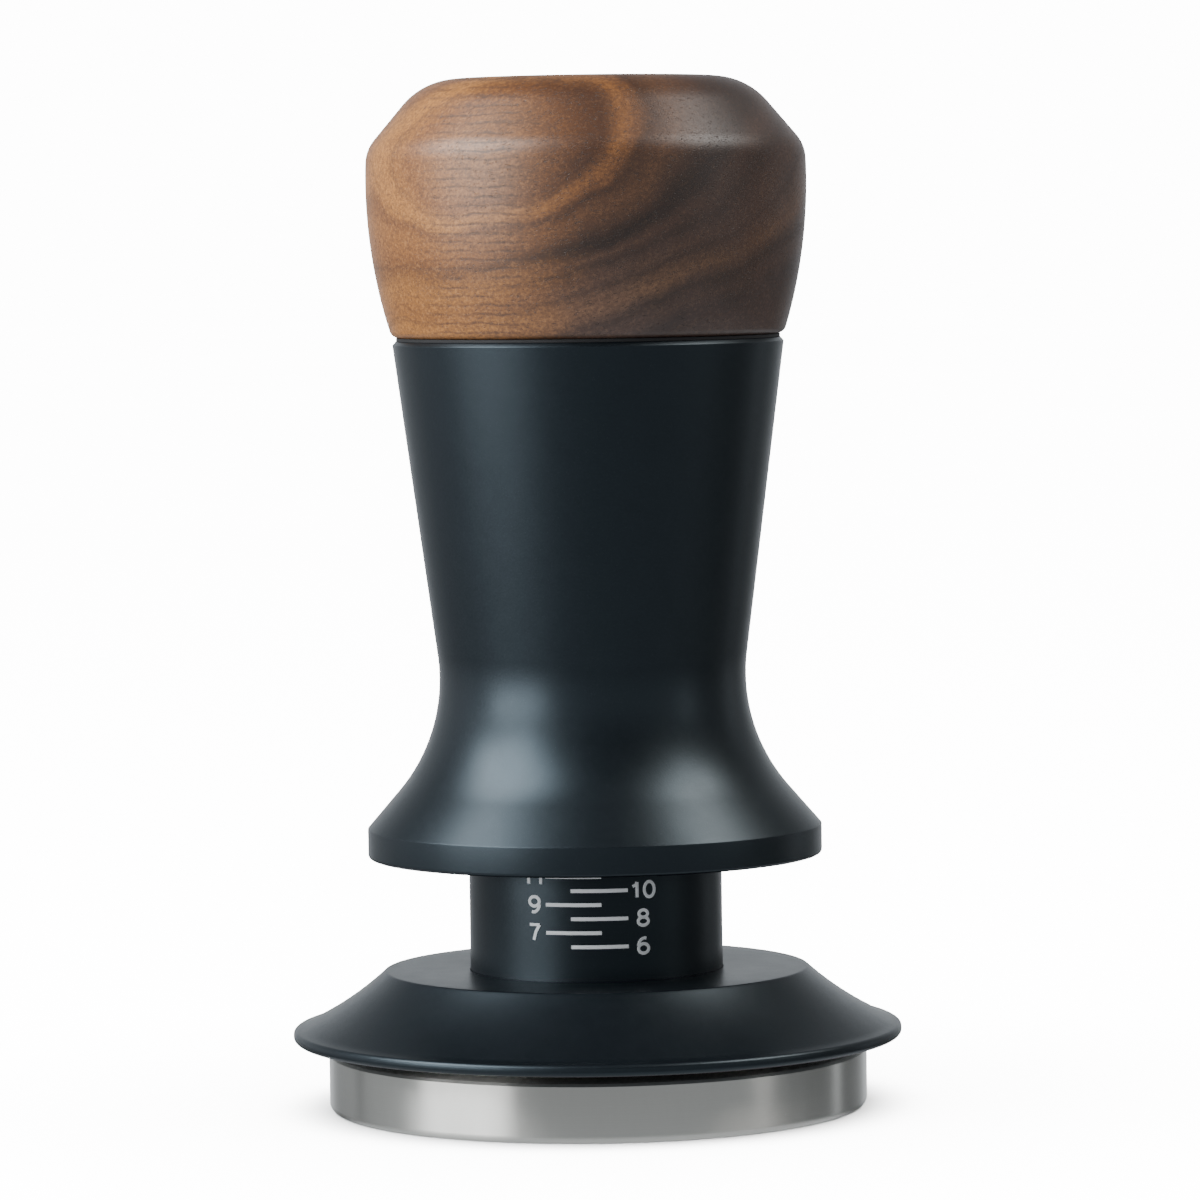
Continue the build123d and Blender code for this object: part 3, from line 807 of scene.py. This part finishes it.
def makeBarrel():
    shape = barrelShape
    low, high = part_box("barrel")
    cone, taper = math.radians(shape["cone"]), math.radians(shape["taper"])
    arc = shape["waistArc"]
    centre = (shape["waistRadius"] + arc, low.z + shape["waistHeight"])
    waist = arcPoints(centre, arc, math.pi + cone, math.pi - taper, 40)
    creaseZ = waist[0][1] - (high.x - waist[0][0]) / math.tan(cone)
    topR = waist[-1][0] + (high.z - waist[-1][1]) * math.tan(taper)
    webZ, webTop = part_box("handle_bush")[0].z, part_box("stop_ring")[0].z
    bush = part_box("handle_bush")[1].x - shape["bushFlange"]
    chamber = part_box("retaining_collar")[1].x + shape["collarGap"]
    bevel, soft = shape["topBevel"], shape["bevelRound"]
    threadLow = high.z - shape["threadDepth"]
    corners = [
        (shape["boreRadius"], low.z, shape["mouthRound"]), (high.x, low.z, shape["rimRound"]),
        (high.x, creaseZ, shape["creaseRound"]), *waist,
        (topR - bevel * math.tan(taper), high.z - bevel, soft), (topR - bevel, high.z, soft),
        (shape["threadRadius"], high.z), (shape["threadRadius"], threadLow),
        (chamber, threadLow), (chamber, webTop), (bush, webTop), (bush, webZ), (shape["boreRadius"], webZ),
    ]
    outline = softOutline(corners, closed=True, steps=8)
    barrel = turnedPiece("barrelBody", outline, paints["barrel"], closed=True, segments=320)
    return place(barrel, "handle", "barrel_black", "barrel")


washerShape = dict(edgeRound=0.08 * mm)


def makeKnobWasher():
    low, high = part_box("knob_washer")
    inner, soft = barrelShape["threadRadius"], washerShape["edgeRound"]
    corners = [(inner, low.z), (high.x, low.z, soft), (high.x, high.z, soft), (inner, high.z)]
    outline = softOutline(corners, closed=True, steps=4)
    ring = turnedPiece("knobWasher", outline, paints["gasket"], closed=True, segments=256)
    return place(ring, "handle", "seal_rubber", "knob_washer")


knobShape = dict(
    bellyHeight=16.7 * mm,           # the widest place
    sideArc=55.0 * mm,
    bottomRound=1.0 * mm,
    bottomSteps=3,                   # steps of the side's arc that the bottom's rounding takes up
    shoulderHeight=20.24 * mm,
    shoulderRound=4.2 * mm,
    shoulderShare=0.42,              # share of that rounding that lies along the side
    slope=40.2,                      # the top edge's slope, in degrees from upright
    topRound=7.8 * mm,
    recessRadius=13.02 * mm,
    recessDepth=2.5 * mm,
    boreRadius=8.02 * mm,
    boreDepth=13.52 * mm,
)


def makeKnob():
    shape = knobShape
    low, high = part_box("wood_knob")
    arc = shape["sideArc"]
    fall = math.asin(shape["bellyHeight"] / arc)
    climb = math.asin((shape["shoulderHeight"] - shape["bellyHeight"]) / arc)
    side = arcPoints((high.x - arc, low.z + shape["bellyHeight"]), arc, -fall, climb, 30)
    shoulder, first = side[-1], shape["bottomSteps"]
    topR = shoulder[0] - (high.z - shoulder[1]) * math.tan(math.radians(shape["slope"]))
    recessTop, boreTop = low.z + shape["recessDepth"], low.z + shape["boreDepth"]
    inside = [
        (0, boreTop), (shape["boreRadius"], boreTop), (shape["boreRadius"], recessTop),
        (shape["recessRadius"], recessTop),
    ]
    foot = softOutline([
        (shape["recessRadius"], low.z), (*side[0], shape["bottomRound"]), side[first],
    ], closed=False, steps=8)
    reach = shape["shoulderRound"] * shape["shoulderShare"]
    belly = [point for point in side[first + 1:] if math.dist(point, shoulder) > reach]
    crown = softOutline([
        belly[-1], (*shoulder, shape["shoulderRound"]), (topR, high.z, shape["topRound"]), (0, high.z),
    ], closed=False, steps=14)
    flat = [(crown[-2].x * share, high.z) for share in (0.75, 0.5, 0.25)]
    outline = inside + foot + belly[:-1] + crown[:-1] + flat + [crown[-1]]
    knob = turnedPiece("walnutKnob", outline, paints["walnut"], closed=False, segments=320, creaseAngle=50)
    return place(knob, "handle", "walnut", "wood_knob")


springShape = dict(
    main=dict(wire=2.4 * mm, mean=9.0 * mm, turns=5.5),
    level=dict(wire=1.2 * mm, mean=9.67 * mm, turns=9.0),
)


def springTree(material):
    # a coil whose end turns lie close; the middle turns share the rest of the height
    tree = Shape("coilSpring", wire=2 * mm, mean=9 * mm, turns=6.0, low=0.0, height=20 * mm, steps=400,
                 closePitch=1.02)
    labels = ("wire", "mean", "turns", "low", "height", "steps", "closePitch")
    wire, mean, turns, low, height, steps, closePitch = (tree.given(label) for label in labels)
    values = {"Resolution": 64, "Rotations": turns, "Start Radius": mean, "End Radius": mean, "Height": 0.0}
    spiral = tree.node("GeometryNodeCurveSpiral", values)
    even = tree.node("GeometryNodeResampleCurve", {"Curve": spiral, "Count": steps})
    wound = tree.node("GeometryNodeSplineParameter") * turns
    first = wound.math("MINIMUM", 1.0)
    final = (wound - (turns - 1)).math("MAXIMUM", 0.0)
    pitch = (height - wire * (1 + 2 * closePitch)) / (turns - 2)
    rise = (first + final) * wire * closePitch + (wound - first - final) * pitch
    x, y, z = tree.axes(tree.node("GeometryNodeInputPosition"))
    spot = tree.vector(x, y, low + wire * 0.5 + rise)
    coil = tree.node("GeometryNodeSetPosition", {"Geometry": even, "Position": spot})
    profile = tree.node("GeometryNodeCurvePrimitiveCircle", {"Resolution": 16, "Radius": wire * 0.5})
    values = {"Curve": coil, "Profile Curve": profile, "Fill Caps": True}
    tree.finish(tree.node("GeometryNodeCurveToMesh", values), material)
    return tree


def makeSpring(name, node, sizes, body, joint):
    low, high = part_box(node)
    length = high.z - low.z
    holder = bpy.data.objects.new("holder", bpy.data.meshes.new("holder"))
    spring = springTree(paints["spring"]).run(holder, name, low=low.z, height=length, **sizes)
    place(spring, body, "spring_steel", node)
    travel = next(j for j in frame["joints"] if j["name"] == joint)["range_m"][1]
    (length - travel) / length
    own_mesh(spring)
    return spring


makeSteelBase()
makeLevellingDisc()
makeScaleSleeve()
makeScaleMarks()
makeBarrel()
makeKnobWasher()
makeKnob()
makeSpring("mainSpring", "main_spring", springShape["main"], "spring_pack", "handle_press")
makeSpring("levellingSpring", "levelling_spring", springShape["level"], "levelling", "disc_lift")
print("pieces made")

# the works inside keep their exact shapes and take a finish
innerFinish = dict(
    shaft=["centre_shaft", "shaft_key", "knob_stud"],
    washer=["level_stop_washer", "retaining_collar", "thrust_washer", "upper_spring_seat"],
    spring=["shaft_circlip"],
    screw=["retaining_screw", "sleeve_screws", "insert_screws"],
    bronze=["disc_bush", "handle_bush"],
    acetal=["guide_ring"],
    bumper=["stop_ring"],
    aluminium=["preload_plug", "knob_insert"],
)
for paint, nodes in innerFinish.items():
    for node in nodes:
        slots = frame["nodes"][node].data.materials
        slots.clear()
        slots.append(paints[paint])
print("inner nodes finished:", sum(len(nodes) for nodes in innerFinish.values()))


studio = dict(
    floorRadius=9.0,
    floorDrop=0.02 * mm,             # keeps the floor out of the base's underside
    floorColour=(0.86, 0.86, 0.86),
    floorPaler=(0.9, 0.9, 0.9),
    floorSun=53.0,
    floorSunAngle=70.0,
    backdrop=14.0,
    lensLength=180.6,
    sensor=36.0,
    cameraSpot=(0.9 * mm, -650.0 * mm, 95.0 * mm),
    tiltDown=3.533,
    roll=-0.8,
)


def makeFloor():
    bm = bmesh.new()
    level = Matrix.Translation((0, 0, -studio["floorDrop"]))
    bmesh.ops.create_circle(bm, cap_ends=True, segments=96, radius=studio["floorRadius"], matrix=level)
    mesh = bpy.data.meshes.new("floor")
    bm.to_mesh(mesh)
    bm.free()
    paint = Finish("pale floor", Roughness=0.8)
    cloud = paint.noise(paint.spot(), 400.0, 2.0)
    colour = paint.blend(cloud, studio["floorColour"], studio["floorPaler"])
    mesh.materials.append(paint.give(Base_Color=colour))
    floor = bpy.data.objects.new("floor", mesh)
    bpy.context.scene.collection.objects.link(floor)
    floor.visible_diffuse = False     # its bounce would wash the black parts out
    floor.visible_glossy = False
    return floor


def makeFloorSun(floor):
    # an even top light for the floor alone, which leaves a soft shadow under the object
    sun = bpy.data.lights.new("floorSun", "SUN")
    sun.energy = studio["floorSun"]
    sun.angle = math.radians(studio["floorSunAngle"])
    lamp = bpy.data.objects.new("floorSun", sun)
    bpy.context.scene.collection.objects.link(lamp)
    floorOnly = bpy.data.collections.new("floor only")
    floorOnly.objects.link(floor)
    lamp.light_linking.receiver_collection = floorOnly


# brightness of the unlit studio, and where each part of it fades in along a direction's X, Y and Z
surround = dict(
    overhead=0.022,
    underfoot=0.85,
    underfootBand=(0.28, 0.50),
    front=0.52,                      # near eye level, in front, at the left and behind
    left=0.22,
    leftBand=(0.5, 1.0),
    back=0.76,
    backBand=(0.86, 0.98),
    levelOver=(0.10, 0.50),          # where eye level ends above and below
    levelUnder=(0.07, 0.30),
    rightDim=0.68,                   # the right side behind the object stays darker
    rightBand=(0.35, 0.80),
    rightFrontBand=(-0.5, 0.1),
    highBack=0.33,                   # a paler patch high up behind
    highBackBand=(0.45, 0.85),
    highFrom=(0.12, 0.32),
    highTo=(0.60, 0.85),
    edgeTurn=122.5,                  # a thin dark gap at the left and a thin bright one at the right
    edgeBand=(1.2, 3.4),
    gapDepth=0.7,
    slitGlow=1.3,
    tint=(0.90, 0.95, 1.0),
)


def makeWorld():
    # a dim studio that is lighter near eye level, and white where it is seen directly
    world = bpy.data.worlds.new("surround")
    bpy.context.scene.world = world
    world.use_nodes = True
    world.node_tree.nodes.clear()
    tree = Tree(world.node_tree)
    part = surround
    x, y, z = tree.axes(tree.node("ShaderNodeTexCoord"))
    level = (1 - z.between(*part["levelOver"])) * (1 - (-z).between(*part["levelUnder"]))
    left = (-x).between(*part["leftBand"]) * part["left"]
    dim = 1 - x.between(*part["rightBand"]) * y.between(*part["rightFrontBand"]) * part["rightDim"]
    around = part["front"] * dim + left + y.between(*part["backBand"]) * part["back"]
    high = y.between(*part["highBackBand"]) * z.between(*part["highFrom"]) * (1 - z.between(*part["highTo"]))
    low = (-z).between(*part["underfootBand"])
    glow = level * around + high * part["highBack"] + low * part["underfoot"] + part["overhead"]
    turn = x.math("ARCTAN2", -y) * (180 / math.pi)
    gap = 1 - (turn + part["edgeTurn"]).absolute().between(*part["edgeBand"])
    slit = 1 - (turn - part["edgeTurn"]).absolute().between(*part["edgeBand"])
    glow = glow * (1 - gap * part["gapDepth"]) + slit * level * part["slitGlow"]
    seen = tree.node("ShaderNodeBackground", {0: (1, 1, 1), 1: studio["backdrop"]})
    lighting = tree.node("ShaderNodeBackground", {0: part["tint"], 1: glow})
    mix = tree.node("ShaderNodeMixShader", {0: tree.node("ShaderNodeLightPath"), 1: lighting, 2: seen})
    tree.node("ShaderNodeOutputWorld", {0: mix})


# azimuth 0 is in front of the scale and grows to the right, height is an angle, distance is in metres
lamps = dict(
    leftBox=dict(
        azimuth=-70, height=41, distance=0.75, size=(0.60, 0.50), power=10.9, colour=(0.93, 0.97, 1.0),
    ),
    leftLow=dict(
        azimuth=-58, height=5, distance=0.80, size=(0.60, 0.20), power=3.5, colour=(0.96, 0.98, 1.0),
    ),
    rightBox=dict(
        azimuth=84, height=49, distance=0.80, size=(0.40, 0.36), power=4.2, colour=(1.0, 0.97, 0.93),
    ),
    rightLow=dict(
        azimuth=73, height=6, distance=0.80, size=(0.13, 0.20), power=0.15, colour=(1, 1, 1),
    ),
)
lampTarget = Vector((0, 0, 50 * mm))


def makeLamp(name, azimuth, height, distance, size, power, colour):
    across, up = math.radians(azimuth), math.radians(height)
    away = Vector((math.sin(across) * math.cos(up), -math.cos(across) * math.cos(up), math.sin(up)))
    light = bpy.data.lights.new(name, "AREA")
    light.shape = "RECTANGLE"
    light.size, light.size_y = size
    light.energy = power
    light.color = colour
    lamp = bpy.data.objects.new(name, light)
    lamp.location = lampTarget + away * distance
    lamp.rotation_euler = away.to_track_quat("Z", "Y").to_euler()
    bpy.context.scene.collection.objects.link(lamp)


def makeCamera():
    camera = bpy.data.cameras.new("camera")
    camera.lens = studio["lensLength"]
    camera.sensor_width = studio["sensor"]
    camera.clip_start = 0.05
    camera.clip_end = 40
    holder = bpy.data.objects.new("camera", camera)
    turn = Matrix.Rotation(math.radians(90 - studio["tiltDown"]), 4, "X")
    turn = turn @ Matrix.Rotation(math.radians(studio["roll"]), 4, "Z")
    holder.matrix_world = Matrix.Translation(studio["cameraSpot"]) @ turn
    bpy.context.scene.collection.objects.link(holder)
    bpy.context.scene.camera = holder


makeFloorSun(makeFloor())
makeWorld()
for name, settings in lamps.items():
    makeLamp(name, **settings)
makeCamera()
print("studio ready")
